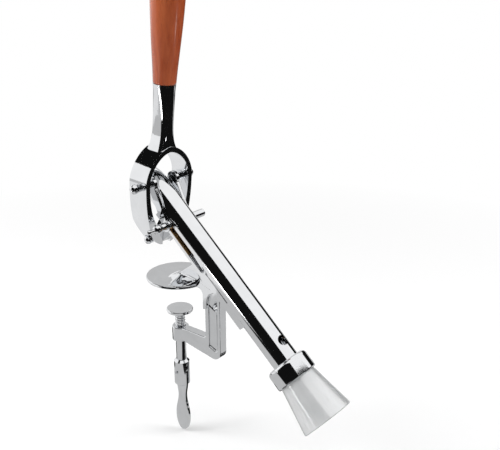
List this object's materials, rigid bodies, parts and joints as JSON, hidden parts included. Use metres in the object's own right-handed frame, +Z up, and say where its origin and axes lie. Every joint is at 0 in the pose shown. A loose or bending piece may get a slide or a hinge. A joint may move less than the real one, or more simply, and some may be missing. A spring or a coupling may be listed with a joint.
{
  "type": "counter mount corkscrew",
  "caption": "Counter-clamped lever corkscrew: a worm and carriage in a sloping barrel with a bottle bell, worked by a stirrup lever with a turned wood grip.",
  "frame": {"origin": "centre of the underside of the clamp's round pad, where it rests on the counter", "axes": "+X along the counter's front edge, +Y in over the counter, -Y toward the user and the bell, +Z up"},
  "size_m": [0.0937, 0.2702, 0.5616],
  "materials": {
    "chrome": "polished",
    "steel": "ground",
    "brass": "machined",
    "varnished_wood": "varnished",
    "frosted_plastic": "frosted",
    "seat_rubber": "matt"
  },
  "bodies": {
    "frame": {"clamp_frame": "chrome", "frame_bolt": "steel", "locating_dowel": "steel", "barrel": "chrome", "barrel_cap": "chrome", "nut_retaining_ring": "steel", "bell_collar": "chrome", "neck_seat": "seat_rubber", "bell": "frosted_plastic"},
    "shoe": {"pressure_shoe": "chrome"},
    "screw": {"clamp_screw": "chrome", "screw_clevis": "chrome", "clevis_pin": "steel", "spoon_pin": "steel"},
    "spoon": {"thumb_spoon": "chrome"},
    "lever": {"lever_stirrup": "chrome", "lever_pivot_pin": "steel", "pivot_ball_nuts": "chrome", "link_studs": "steel", "stud_spacers": "chrome", "stud_collars": "steel", "stud_ball_nuts": "chrome", "handle_tang": "steel", "wood_handle": "varnished_wood"},
    "carriage": {"carriage": "brass", "cross_pin": "steel", "cross_pin_sleeve": "chrome", "cross_pin_ball": "chrome", "cross_pin_end": "chrome", "spindle_bush": "steel"},
    "left_link": {"link_left": "chrome"},
    "right_link": {"link_right": "chrome"},
    "spindle": {"spindle": "steel", "thrust_washer": "brass", "worm_pin": "steel", "worm": "steel"},
    "drive_nut": {"drive_nut": "brass"}
  },
  "joints": [
    {"name": "lever_swing", "type": "hinge", "parent": "frame", "child": "lever", "pos_m": [0, 0.02387, 0.04453], "axis": [1, 0, 0], "range_deg": [0, 60.5]},
    {"name": "carriage_slide", "type": "slide", "parent": "frame", "child": "carriage", "axis": [0, -0.7524, -0.6587], "range_m": [0, 0.05956]},
    {"name": "left_link_turn", "type": "hinge", "parent": "carriage", "child": "left_link", "pos_m": [0, -0.00135, 0.06499], "axis": [1, 0, 0], "range_deg": [0, 10.18]},
    {"name": "right_link_turn", "type": "hinge", "parent": "carriage", "child": "right_link", "pos_m": [0, -0.00135, 0.06499], "axis": [1, 0, 0], "range_deg": [0, 10.18]},
    {"name": "worm_spin", "type": "hinge", "parent": "carriage", "child": "spindle", "pos_m": [0, -0.0053, 0.0695], "axis": [0, -0.7524, -0.6587], "range_deg": [0, 2144.2]},
    {"name": "drive_nut_slide", "type": "slide", "parent": "frame", "child": "drive_nut", "axis": [0, 0.7524, 0.6587], "range_m": [0, 0.045]},
    {"name": "shoe_travel", "type": "slide", "parent": "frame", "child": "shoe", "axis": [0, 0, 1], "range_m": [-0.014, 0.021]},
    {"name": "screw_turn", "type": "hinge", "parent": "shoe", "child": "screw", "pos_m": [0, 0, -0.09], "axis": [0, 0, 1], "range_deg": [-1680.5, 2520.5]},
    {"name": "spoon_fold", "type": "hinge", "parent": "screw", "child": "spoon", "pos_m": [0, 0, -0.118], "axis": [1, 0, 0], "range_deg": [-90, 90]}
  ],
  "couplings": [
    {"joint": "carriage_slide", "follows": "lever_swing", "m_per_rad": 0.056393},
    {"joint": "left_link_turn", "follows": "lever_swing", "ratio": 0.16812},
    {"joint": "right_link_turn", "follows": "lever_swing", "ratio": 0.16812},
    {"joint": "worm_spin", "follows": "lever_swing", "ratio": 35.433},
    {"joint": "screw_turn", "follows": "shoe_travel", "rad_per_m": 2094.4}
  ]
}
